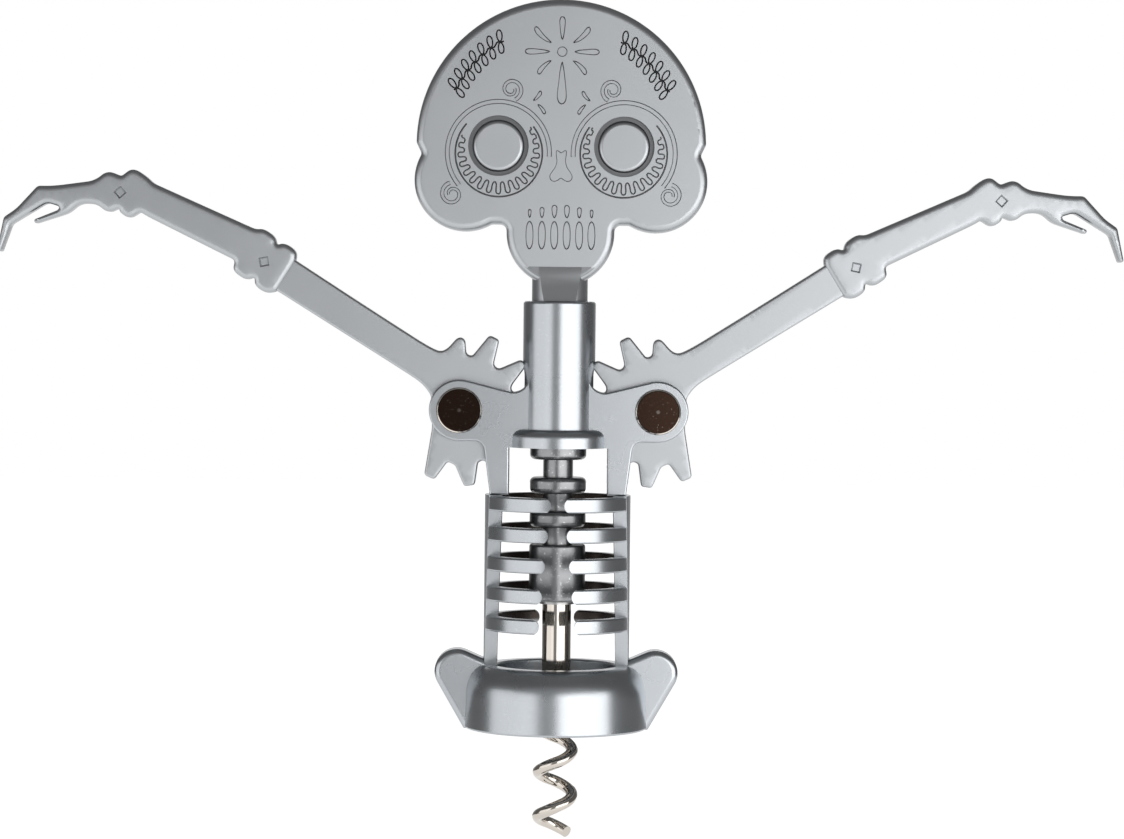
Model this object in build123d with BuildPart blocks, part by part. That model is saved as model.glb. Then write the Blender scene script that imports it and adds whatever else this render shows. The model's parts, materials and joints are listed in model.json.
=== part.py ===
"""A wing corkscrew in the shape of a skeleton, built from its separate pieces.

Units are millimetres. The z axis is the axis of the worm, z = 0 is the rim of the bell that sits on
the bottle, x runs along the two levers and the front of the object faces -y.
The levers stand half raised, as the object is usually shown.
"""

import os
from math import asin, atan, ceil, cos, degrees, hypot, pi, radians, sin, sqrt, tan

from build123d import *

os.makedirs("parts", exist_ok=True)

# Common values
overrun = 2.0  # how far a cutting shape reaches past what it cuts
seam_clearance = 0.05  # between pieces that are fixed to each other
running_clearance = 0.05  # radial, between a turning shaft and its bore
sides = {"left": -1, "right": 1}

# Bell that sits on the bottle's lip
bell_rim_radius = 18.8
bell_side_radius = 18.65
bell_height = 13.0
bell_side_height = 7.0
bell_top_radius = 14.8
bell_opening_radius = 12.3
bell_bore_radius = 16.0
bell_seat_height = 9.6
bell_edge_round = 0.5

# Hip wings on the bell
hip_lobe_radius = 4.6
hip_lobe_reach = 20.3
hip_lobe_height = 11.6
hip_foot_reach = 18.9
hip_waist_height = 13.2
hip_thickness = 6.4
hip_edge_round = 1.2

# Rib cage
rib_count = 5
rib_outer_radius = 14.9
rib_depth = 2.5
rib_height = 2.95
rib_edge_round = 0.35
rib_end_round = 1.55
lowest_rib_share = 0.25  # of the cage's height, above the bell
rib_top_inset = 0.15  # the top rib lies this far below the cage's top
lowest_rib_gap = 7.1
rib_gap_step = 1.1
post_outer_radius = 14.95
post_thickness = 2.5
post_top_width = 10.6
post_foot_width = 5.6

# Yoke: guide tube, flange, ears and legs
tube_radius = 7.4
tube_bore_radius = 6.0
tube_rise = 22.4  # above the pivots
tube_edge_round = 0.6
flange_radius = 10.25
flange_drop = 7.5  # below the pivots
flange_height = 3.7
flange_round = 1.8
ear_face_depth = 4.1
ear_radius = 6.2
ear_slope_angle = 14.0
ear_root_round = 3.2
leg_inner_reach = 10.05
leg_outer_reach = 15.3
leg_foot_reach = 13.9
leg_root_round = 2.0
ear_edge_round = 0.35
slot_rise = 9.4
leg_drop = 17.2

# Pivots
pivot_reach = 20.26
pivot_height = 65.1
pivot_radius = 2.5
rivet_head_radius = 4.65
rivet_head_height = 0.9
rivet_chamfer = 0.45
rivet_dimple_radius = 0.45
rivet_dimple_depth = 0.2
rivet_tail_length = 0.5

# Rack and gear
ring_pitch = 6.9
ring_count = 6
ring_radius = 5.75
ring_height = 3.3
ring_round = 1.0
rack_core_radius = 3.05
holder_height = 11.6
holder_round = 0.5
gear_teeth_per_turn = 12
gear_teeth = 8
teeth_below_first = 3
gear_tip_radius = 15.6
gear_tooth_height = 4.5
gear_tip_width = 2.2
gear_flank_angle = 15.5
gear_lead_angle = 8.0  # of the first tooth above the line from pivot to rack
rack_play = 0.2  # the rings rest this far above the middle of the teeth

# Levers
lever_thickness = 4.0
lever_side_clearance = 0.3
lever_rest_angle = 36.4
elbow_reach = 50.0
upper_arm_width = 8.4
forearm_length = 31.6
forearm_width = 9.4
forearm_thickness = 4.8
hand_length = 18.0
hand_drop = 21.0
mark_side = 1.75
mark_depth = 0.45

# Worm and its shaft
worm_outer_radius = 4.65
worm_wire_radius = 1.2
worm_pitch = 9.15
worm_tip_height = -21.8
worm_tip_angle = 44.0
worm_top_height = 6.6
shank_radius = 2.95
shank_foot_height = 11.4
worm_collar_height = 3.4
worm_collar_radius = 5.1
arcs_per_turn = 4
shaft_radius = 1.95
shaft_in_neck = 11.5
washer_thickness = 0.5
washer_radius = 3.6

# Skull handle
skull_thickness = 8.0
skull_edge_round = 1.6
dome_radius = 29.5
dome_rise = 17.9  # above the middle of the jaw
dome_cut_rise = 0.2  # the dome ends this far above its middle
temple_notch_depth = 1.1  # the temples lie this far inside the dome
cheek_radius = 10.4
cheek_overhang = 0.35  # the cheeks stand this far outside the dome
cheek_rise = 10.5
cheek_arch_share = 0.856  # of the cheek's radius, below its middle
jaw_radius = 11.0
jaw_rise = 14.0  # above the guide tube
notch_round = 1.4
temple_round = 1.6
temple_notch_round = 1.0
neck_radius = 5.7
neck_flat_drop = 7.0
neck_flat_width = 8.7
neck_flat_lean = 1.0
eye_reach = 12.8
eye_rise = 17.5
eye_boss_radius = 5.3
eye_groove_width = 0.8
eye_groove_depth = 1.0
pin_radius = 0.9
pin_height_in_neck = 3.8

# Spacer washers and dowels
spacer_radius = 4.4
spacer_thickness = 0.25
dowel_radius = 0.45
dowel_length = 5.0
leg_dowel_reach = 12.5
bell_dowel_radius = 0.7

# Places that follow from the sizes above
tube_top = pivot_height + tube_rise
flange_bottom = pivot_height - flange_drop
slot_top = pivot_height + slot_rise
cage_top = pivot_height - leg_drop
lowest_rib_height = bell_height + lowest_rib_share * (cage_top - bell_height)
top_rib_height = cage_top - rib_top_inset - rib_height / 2
jaw_height = tube_top + jaw_rise
dome_height = jaw_height + dome_rise
dome_cut_height = dome_height + dome_cut_rise
temple_reach = dome_radius - temple_notch_depth
cheek_reach = dome_radius + cheek_overhang - cheek_radius
cheek_height = jaw_height + cheek_rise
cheek_arch_height = cheek_height - cheek_arch_share * cheek_radius
eye_height = jaw_height + eye_rise
neck_flat_top = jaw_height - neck_flat_drop
gear_root_radius = gear_tip_radius - gear_tooth_height
rolling_radius = ring_pitch * gear_teeth_per_turn / (2 * pi)
slot_width = lever_thickness + 2 * lever_side_clearance
plate_middle_depth = (slot_width / 2 + ear_face_depth) / 2
groove_height = pivot_height + rolling_radius * radians(gear_lead_angle) + rack_play
rings_below_groove = 4
lowest_ring_height = groove_height + ring_pitch / 2 - rings_below_groove * ring_pitch
ring_heights = [lowest_ring_height + i * ring_pitch for i in range(ring_count)]
rack_top = ring_heights[-1] + ring_height / 2
holder_top = lowest_ring_height - ring_pitch + ring_height / 2
rack_bottom = holder_top - holder_height
axial_play = 2 * running_clearance
lower_washer_bottom = rack_bottom - axial_play - washer_thickness
neck_bottom = rack_top + axial_play + washer_thickness
post_inner_radius = post_outer_radius - post_thickness
bore_radius = shaft_radius + running_clearance
pin_height = neck_bottom + pin_height_in_neck
shaft_top = neck_bottom + shaft_in_neck
print("rolling radius", round(rolling_radius, 4), "turn per mm", round(degrees(1 / rolling_radius), 4))


def at_height(height):
    """A level plane at a height on the worm's axis."""
    return Plane.XY.offset(height)


def facing_front(depth):
    """The upright plane at a distance in front of the worm's axis."""
    return Plane.XZ.offset(depth)


# Bell with its hip wings
with BuildPart() as bottle_bell:
    hip_inner = (bell_bore_radius + bell_side_radius) / 2
    hip_root_height = (bell_seat_height + bell_height) / 2
    foot_lean = atan((hip_lobe_reach - hip_foot_reach) / hip_lobe_height)
    foot_run = hypot(hip_lobe_reach - hip_foot_reach, hip_lobe_height)
    touch_angle = foot_lean + asin(hip_lobe_radius / foot_run)
    waist_run = hip_lobe_reach - post_inner_radius
    waist_rise = hip_waist_height - hip_lobe_height
    waist_lean = asin(hip_lobe_radius / hypot(waist_run, waist_rise)) - atan(waist_rise / waist_run)
    lobe_top_angle = radians(90) + waist_lean
    lobe_middle_angle = (lobe_top_angle - touch_angle) / 2
    for side in sides.values():
        lobe_foot = (
            side * (hip_lobe_reach + hip_lobe_radius * cos(touch_angle)),
            hip_lobe_height - hip_lobe_radius * sin(touch_angle),
        )
        lobe_middle = (
            side * (hip_lobe_reach + hip_lobe_radius * cos(lobe_middle_angle)),
            hip_lobe_height + hip_lobe_radius * sin(lobe_middle_angle),
        )
        lobe_top = (
            side * (hip_lobe_reach + hip_lobe_radius * cos(lobe_top_angle)),
            hip_lobe_height + hip_lobe_radius * sin(lobe_top_angle),
        )
        with BuildSketch(Plane.XZ):
            with BuildLine():
                ThreePointArc(lobe_foot, lobe_middle, lobe_top)
                Polyline(
                    lobe_top,
                    (side * post_inner_radius, hip_waist_height),
                    (side * post_inner_radius, hip_root_height),
                    (side * hip_inner, hip_root_height),
                    (side * hip_inner, 0),
                    (side * hip_foot_reach, 0),
                    lobe_foot,
                )
            make_face()
        extrude(amount=hip_thickness / 2, both=True)
    hip_edges = bottle_bell.faces().filter_by(Axis.Y).edges()
    hip_rim = hip_edges.filter_by(
        lambda e: abs(e.center().X) > hip_foot_reach or e.center().Z > hip_waist_height
    )
    fillet(hip_rim, hip_edge_round)
    with BuildSketch(at_height(bell_height)):
        Circle(post_outer_radius + seam_clearance)
    extrude(amount=hip_lobe_radius, mode=Mode.SUBTRACT)
    with BuildSketch(Plane.XZ) as bell_profile:
        with BuildLine():
            Polyline(
                (bell_side_radius, bell_side_height),
                (bell_rim_radius, 0),
                (bell_bore_radius, 0),
                (bell_bore_radius, bell_seat_height),
                (bell_opening_radius, bell_seat_height),
                (bell_opening_radius, bell_height),
                (bell_top_radius, bell_height),
            )
            EllipticalCenterArc(
                (bell_top_radius, bell_side_height),
                bell_side_radius - bell_top_radius,
                bell_height - bell_side_height,
                arc_size=90,
            )
        make_face()
        for corner in ((bell_rim_radius, 0), (bell_opening_radius, bell_height)):
            fillet(bell_profile.vertices().sort_by_distance((*corner, 0))[0], bell_edge_round)
    revolve(axis=Axis.Z)
    with BuildSketch(at_height(bell_height)):
        with GridLocations(post_inner_radius + post_outer_radius, 0, 2, 1):
            Circle(bell_dowel_radius + seam_clearance)
    extrude(amount=-dowel_length / 2 - seam_clearance, mode=Mode.SUBTRACT)
bottle_bell.part.label = "bottle_bell"
export_step(bottle_bell.part, "parts/bottle_bell.step")


# Rib cage: a left and a right side, each a tapering post with the half rings that it carries
for side_name, side in sides.items():
    with BuildPart() as rib_side:
        with BuildSketch(at_height(bell_height)):
            Circle(post_outer_radius)
            Circle(post_inner_radius, mode=Mode.SUBTRACT)
        extrude(amount=cage_top - bell_height)
        with BuildSketch(Plane.YZ):
            with BuildLine():
                Polyline(
                    (-post_foot_width / 2, bell_height),
                    (post_foot_width / 2, bell_height),
                    (post_top_width / 2, cage_top),
                    (-post_top_width / 2, cage_top),
                    close=True,
                )
            make_face()
        extrude(amount=side * rib_outer_radius, mode=Mode.INTERSECT)
        for i in range(rib_count):
            rib_level = lowest_rib_height + (top_rib_height - lowest_rib_height) * i / (rib_count - 1)
            end_middle = (lowest_rib_gap - i * rib_gap_step) / 2 + rib_end_round
            with BuildSketch(Plane.XZ):
                with Locations((rib_outer_radius - rib_depth / 2, rib_level)):
                    RectangleRounded(rib_depth, rib_height, rib_edge_round)
            revolve(axis=Axis.Z)
            with BuildSketch(Plane.XZ):
                with Locations((side * (end_middle - rib_outer_radius - overrun) / 2, rib_level)):
                    Rectangle(end_middle + rib_outer_radius + overrun, rib_height + overrun)
                with Locations((side * end_middle, rib_level)):
                    Circle(rib_end_round, mode=Mode.SUBTRACT)
            extrude(amount=rib_outer_radius + overrun, both=True, mode=Mode.SUBTRACT)
        with BuildSketch(at_height(bell_height)):
            with Locations((side * (post_inner_radius + post_outer_radius) / 2, 0)):
                Circle(bell_dowel_radius + seam_clearance)
        extrude(amount=dowel_length / 2 + seam_clearance, mode=Mode.SUBTRACT)
        with BuildSketch(at_height(cage_top)):
            with Locations((side * leg_dowel_reach, 0)):
                with GridLocations(0, 2 * plate_middle_depth, 1, 2):
                    Circle(dowel_radius + seam_clearance)
        extrude(amount=-dowel_length / 2 - seam_clearance, mode=Mode.SUBTRACT)
    rib_side.part.label = f"{side_name}_rib_cage"
    export_step(rib_side.part, f"parts/{side_name}_rib_cage.step")


# Yoke: the guide tube with its flange, and front and back plates that end in ears and legs
with BuildPart() as yoke:
    ear_top = (
        pivot_reach - ear_radius * sin(radians(ear_slope_angle)),
        pivot_height + ear_radius * cos(radians(ear_slope_angle)),
    )
    ear_slope = tan(radians(ear_slope_angle))
    tube_chord = sqrt(tube_radius**2 - ear_face_depth**2)
    with BuildSketch(Plane.XZ) as plate_outline:
        with BuildLine():
            Polyline(
                (0, ear_top[1] - ear_top[0] * ear_slope),
                ear_top,
                (pivot_reach, pivot_height),
                (pivot_reach, pivot_height - ear_radius),
                (leg_outer_reach, pivot_height - ear_radius),
                (leg_foot_reach, cage_top),
                (leg_inner_reach, cage_top),
                (leg_inner_reach, flange_bottom),
                (0, flange_bottom),
                close=True,
            )
        make_face()
        with Locations((pivot_reach, pivot_height)):
            Circle(ear_radius)
        with Locations((tube_chord / 2, (flange_bottom + tube_top) / 2)):
            Rectangle(tube_chord, tube_top - flange_bottom)
        root_corner = (tube_chord, ear_top[1] - (ear_top[0] - tube_chord) * ear_slope)
        fillet(plate_outline.vertices().sort_by_distance((*root_corner, 0))[0], ear_root_round)
        leg_corner = (leg_outer_reach, pivot_height - ear_radius)
        fillet(plate_outline.vertices().sort_by_distance((*leg_corner, 0))[0], leg_root_round)
        mirror(about=Plane.YZ)
    extrude(amount=ear_face_depth, both=True)
    plate_edges = yoke.faces().filter_by(Axis.Y).edges()
    fillet(plate_edges.filter_by(lambda e: abs(e.center().X) > tube_radius), ear_edge_round)
    with BuildSketch(Plane.XZ) as tube_profile:
        with BuildLine():
            Polyline(
                (0, flange_bottom),
                (flange_radius, flange_bottom),
                (flange_radius, flange_bottom + flange_height),
                (tube_radius, flange_bottom + flange_height),
                (tube_radius, tube_top),
                (0, tube_top),
                close=True,
            )
        make_face()
        flange_corner = (flange_radius, flange_bottom + flange_height, 0)
        fillet(tube_profile.vertices().sort_by_distance(flange_corner)[0], flange_round)
        fillet(tube_profile.vertices().sort_by_distance((tube_radius, tube_top, 0))[0], tube_edge_round)
    revolve(axis=Axis.Z)
    with BuildSketch(at_height(tube_top)):
        Circle(tube_bore_radius)
    extrude(amount=-(tube_top - flange_bottom) - overrun, mode=Mode.SUBTRACT)
    with BuildSketch(Plane.YZ):
        with Locations((0, (cage_top + slot_top) / 2 - slot_width / 4 - overrun / 2)):
            Rectangle(slot_width, slot_top - cage_top - slot_width / 2 + overrun)
        with Locations((0, slot_top - slot_width / 2)):
            Circle(slot_width / 2)
    extrude(amount=pivot_reach + ear_radius + overrun, both=True, mode=Mode.SUBTRACT)
    with BuildSketch(facing_front(ear_face_depth)):
        with GridLocations(2 * pivot_reach, 0, 2, 1):
            with Locations((0, pivot_height)):
                Circle(pivot_radius + seam_clearance)
    extrude(amount=-2 * ear_face_depth, mode=Mode.SUBTRACT)
    with BuildSketch(at_height(cage_top)):
        with GridLocations(2 * leg_dowel_reach, 2 * plate_middle_depth, 2, 2):
            Circle(dowel_radius + seam_clearance)
    extrude(amount=dowel_length / 2 + seam_clearance, mode=Mode.SUBTRACT)
yoke.part.label = "yoke"
export_step(yoke.part, "parts/yoke.step")


# Dowels that tie the yoke to the rib cage, and the rib cage to the bell
with BuildPart() as leg_dowels:
    with BuildSketch(at_height(cage_top - dowel_length / 2)):
        with GridLocations(2 * leg_dowel_reach, 2 * plate_middle_depth, 2, 2):
            Circle(dowel_radius)
    extrude(amount=dowel_length)
leg_dowels.part.label = "leg_dowels"
export_step(leg_dowels.part, "parts/leg_dowels.step")

with BuildPart() as bell_dowels:
    with BuildSketch(at_height(bell_height - dowel_length / 2)):
        with GridLocations(post_inner_radius + post_outer_radius, 0, 2, 1):
            Circle(bell_dowel_radius)
    extrude(amount=dowel_length)
bell_dowels.part.label = "bell_dowels"
export_step(bell_dowels.part, "parts/bell_dowels.step")


# Pivot rivets in two halves, and the spacer washers beside each lever
for side_name, side in sides.items():
    with BuildPart() as pivot_rivet:
        with BuildSketch(facing_front(ear_face_depth)):
            with Locations((side * pivot_reach, pivot_height)):
                Circle(rivet_head_radius)
        extrude(amount=rivet_head_height)
        head_edges = pivot_rivet.edges().filter_by(GeomType.CIRCLE).sort_by(Axis.Y)
        chamfer(head_edges[0], rivet_chamfer)
        with BuildSketch(facing_front(ear_face_depth)):
            with Locations((side * pivot_reach, pivot_height)):
                Circle(pivot_radius)
        extrude(amount=-2 * ear_face_depth - rivet_tail_length)
        with BuildSketch(facing_front(ear_face_depth + rivet_head_height)):
            with Locations((side * pivot_reach, pivot_height)):
                Circle(rivet_dimple_radius)
        extrude(amount=-rivet_dimple_depth, mode=Mode.SUBTRACT)
    pivot_rivet.part.label = f"{side_name}_pivot_rivet"
    export_step(pivot_rivet.part, f"parts/{side_name}_pivot_rivet.step")

    with BuildPart() as rivet_cap:
        with BuildSketch(facing_front(-ear_face_depth)):
            with Locations((side * pivot_reach, pivot_height)):
                Circle(rivet_head_radius)
        extrude(amount=-rivet_head_height)
        cap_edges = rivet_cap.edges().filter_by(GeomType.CIRCLE).sort_by(Axis.Y)
        chamfer(cap_edges[-1], rivet_chamfer)
        with BuildSketch(facing_front(-ear_face_depth)):
            with Locations((side * pivot_reach, pivot_height)):
                Circle(pivot_radius + seam_clearance)
        extrude(amount=-rivet_tail_length - seam_clearance, mode=Mode.SUBTRACT)
    rivet_cap.part.label = f"{side_name}_rivet_cap"
    export_step(rivet_cap.part, f"parts/{side_name}_rivet_cap.step")

    for face_name, face in {"front": 1, "back": -1}.items():
        with BuildPart() as lever_spacer:
            with BuildSketch(facing_front(face * (slot_width / 2 - seam_clearance / 2))):
                with Locations((side * pivot_reach, pivot_height)):
                    Circle(spacer_radius)
                    Circle(pivot_radius + seam_clearance, mode=Mode.SUBTRACT)
            extrude(amount=-face * spacer_thickness)
        lever_spacer.part.label = f"{side_name}_{face_name}_spacer"
        export_step(lever_spacer.part, f"parts/{side_name}_{face_name}_spacer.step")


# Outline of a lever, in shares of its own sizes. Along the arm, then up from the arm's middle line.
upper_arm_shares = [(0.2, 0.845), (0.354, 0.702), (0.794, 0.536), (0.95, 0.44)]
lower_arm_shares = [(0.95, -0.37), (0.686, -0.321), (0.258, -0.048), (0.128, -0.143)]
heel_shares = [(0.147, -0.404), (0.41, -0.077), (1.28, -0.026), (1.28, -1.28), (-0.3, -1.28)]
first_tooth_shares = [(0.647, 0.455), (0.58, 0.69), (0.49, 0.84), (0.6, 1.2), (1.2, 1.0), (1.0, 0.4)]
elbow_top_shares = [(-0.056, 0.404, 0.223), (0.05, 0.394, 0.202)]
elbow_under_shares = [(-0.056, -0.319, 0.234), (0.044, -0.33, 0.255)]
forearm_top_shares = [(-0.175, 0.39), (0.135, 0.489), (0.905, -0.106)]
forearm_end_shares = [(1.02, -0.33), (1.0, -0.95), (0.794, -0.713)]
forearm_under_shares = [(0.175, -0.372), (0.12, -0.45), (-0.178, -0.33)]
wrist_top_shares = [(-0.022, 0.351, 0.223), (0.09, 0.064, 0.202)]
wrist_under_shares = [(-0.092, -0.085, 0.245), (0.037, -0.309, 0.223)]
back_of_hand_shares = [(-0.1, 0.19), (0.29, -0.02), (0.44, -0.186)]
index_shares = [(0.79, -0.438), (0.867, -0.895), (0.683, -1.152), (0.644, -1.128), (0.733, -0.881)]
gap_shares = [(0.606, -0.529), (0.494, -0.476), (0.45, -0.495)]
thumb_shares = [(0.6, -0.738), (0.372, -0.5), (0.344, -0.433), (0.261, -0.29), (0.0, -0.262)]
wrist_drop_share = -0.7  # of the forearm's width, below the arm's middle line

for side_name, side in sides.items():
    lever_axis = (side * cos(radians(lever_rest_angle)), 0, sin(radians(lever_rest_angle)))
    lever_plane = Plane(
        origin=(side * pivot_reach, 0, pivot_height),
        x_dir=lever_axis,
        z_dir=(0, -side, 0),
    )
    wrist = (elbow_reach + forearm_length, wrist_drop_share * forearm_width)
    with BuildPart() as lever:
        with BuildSketch(lever_plane) as gear_outline:
            Circle(gear_root_radius)
            tooth_root_width = gear_tip_width + 2 * gear_tooth_height * tan(radians(gear_flank_angle))
            for k in range(gear_teeth):
                tooth_turn = (k - teeth_below_first) * 360 / gear_teeth_per_turn
                turn = 180 - gear_lead_angle - lever_rest_angle + tooth_turn
                with BuildLine(Plane.XY.rotated((0, 0, turn))):
                    Polyline(
                        (0, -tooth_root_width / 2),
                        (gear_root_radius, -tooth_root_width / 2),
                        (gear_tip_radius, -gear_tip_width / 2),
                        (gear_tip_radius, gear_tip_width / 2),
                        (gear_root_radius, tooth_root_width / 2),
                        (0, tooth_root_width / 2),
                        close=True,
                    )
                make_face()
            for cut_shares in (heel_shares, first_tooth_shares):
                with BuildLine():
                    cut_points = [(a * gear_tip_radius, b * gear_tip_radius) for a, b in cut_shares]
                    Polyline(*cut_points, close=True)
                make_face(mode=Mode.SUBTRACT)
            with BuildLine():
                Polyline(
                    (0, 0),
                    *[(a * elbow_reach, b * upper_arm_width) for a, b in upper_arm_shares],
                    *[(a * elbow_reach, b * upper_arm_width) for a, b in lower_arm_shares],
                    close=True,
                )
            make_face()
        extrude(amount=lever_thickness / 2, both=True)
        with BuildSketch(lever_plane) as arm_outline:
            with BuildLine():
                Polyline(
                    *[
                        (elbow_reach + a * forearm_length, b * forearm_width)
                        for a, b in forearm_top_shares + forearm_end_shares + forearm_under_shares
                    ],
                    close=True,
                )
            make_face()
            for a, b, radius_share in elbow_top_shares + elbow_under_shares:
                with Locations((elbow_reach + a * elbow_reach, b * forearm_width)):
                    Circle(radius_share * forearm_width)
            for a, b, radius_share in wrist_top_shares + wrist_under_shares:
                with Locations((wrist[0] + a * forearm_length, wrist[1] + b * forearm_width)):
                    Circle(radius_share * forearm_width)
            hand_shares = back_of_hand_shares + index_shares + gap_shares + thumb_shares
            with BuildLine():
                Polyline(
                    *[(wrist[0] + a * hand_length, wrist[1] + b * hand_drop) for a, b in hand_shares],
                    close=True,
                )
            make_face()
        extrude(amount=forearm_thickness / 2, both=True)
        for mark in ((elbow_reach, 0), wrist):
            with BuildSketch(lever_plane.offset(forearm_thickness / 2)):
                with Locations(mark):
                    Rectangle(mark_side, mark_side, rotation=lever_rest_angle)
            extrude(amount=-mark_depth, mode=Mode.SUBTRACT)
            with BuildSketch(lever_plane.offset(-forearm_thickness / 2)):
                with Locations(mark):
                    Rectangle(mark_side, mark_side, rotation=lever_rest_angle)
            extrude(amount=mark_depth, mode=Mode.SUBTRACT)
        with BuildSketch(lever_plane):
            Circle(pivot_radius + running_clearance)
        extrude(amount=lever_thickness, both=True, mode=Mode.SUBTRACT)
    lever.part.label = f"{side_name}_lever"
    export_step(lever.part, f"parts/{side_name}_lever.step")


# Rack sleeve: round teeth on a hollow core, ending in the plain holder
rounded_bands = [(level - ring_height / 2, level + ring_height / 2, ring_round) for level in ring_heights]
rounded_bands.append((rack_bottom, holder_top, holder_round))
with BuildPart() as rack_sleeve:
    with BuildSketch(at_height(rack_bottom)):
        Circle(rack_core_radius)
    extrude(amount=rack_top - rack_bottom)
    for band_bottom, band_top, band_round in rounded_bands:
        with BuildSketch(Plane.XZ):
            with BuildLine():
                FilletPolyline(
                    (0, band_bottom),
                    (ring_radius, band_bottom),
                    (ring_radius, band_top),
                    (0, band_top),
                    radius=band_round,
                )
                Line((0, band_top), (0, band_bottom))
            make_face()
        revolve(axis=Axis.Z)
    with BuildSketch(at_height(rack_bottom)):
        Circle(bore_radius)
    extrude(amount=rack_top - rack_bottom, mode=Mode.SUBTRACT)
rack_sleeve.part.label = "rack_sleeve"
export_step(rack_sleeve.part, "parts/rack_sleeve.step")


# Thrust washers at the two ends of the rack sleeve
washer_levels = {"upper": rack_top + axial_play, "lower": lower_washer_bottom}
for end_name, washer_level in washer_levels.items():
    with BuildPart() as thrust_washer:
        with BuildSketch(at_height(washer_level)):
            Circle(washer_radius)
            Circle(bore_radius, mode=Mode.SUBTRACT)
        extrude(amount=washer_thickness)
    thrust_washer.part.label = f"{end_name}_thrust_washer"
    export_step(thrust_washer.part, f"parts/{end_name}_thrust_washer.step")


# Worm: a right-handed helix of round wire on a stepped shaft
worm_mean_radius = worm_outer_radius - worm_wire_radius
helix_top = worm_top_height + worm_collar_height / 2
helix_turns = (helix_top - worm_tip_height) / worm_pitch
helix_arcs = ceil(helix_turns * arcs_per_turn)


def helix_point(arcs):
    """A point on the worm's middle line, this many arcs up from its tip."""
    turn = radians(worm_tip_angle) + 2 * pi * helix_turns * arcs / helix_arcs
    rise = (helix_top - worm_tip_height) * arcs / helix_arcs
    return (worm_mean_radius * cos(turn), worm_mean_radius * sin(turn), worm_tip_height + rise)


with BuildPart() as worm:
    with BuildLine() as worm_path:
        for i in range(helix_arcs):
            ThreePointArc(helix_point(i), helix_point(i + 0.5), helix_point(i + 1))
    with BuildSketch(Plane(origin=worm_path.line @ 0, z_dir=worm_path.line % 0)):
        Circle(worm_wire_radius)
    sweep(path=worm_path.line)
    with BuildSketch(Plane.XZ):
        with BuildLine():
            Polyline(
                (0, worm_top_height),
                (worm_mean_radius, worm_top_height),
                (worm_collar_radius, worm_top_height + worm_wire_radius),
                (worm_collar_radius, worm_top_height + worm_collar_height),
                (shank_radius, shank_foot_height),
                (shank_radius, lower_washer_bottom),
                (shaft_radius, lower_washer_bottom),
                (shaft_radius, shaft_top),
                (0, shaft_top),
                close=True,
            )
        make_face()
    revolve(axis=Axis.Z)
    with BuildSketch(Plane.XZ):
        with Locations((0, pin_height)):
            Circle(pin_radius + seam_clearance)
    extrude(amount=neck_radius, both=True, mode=Mode.SUBTRACT)
print("worm volume", round(worm.part.volume, 1), "solids", len(worm.part.solids()))
worm.part.label = "worm"
export_step(worm.part, "parts/worm.step")


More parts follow.
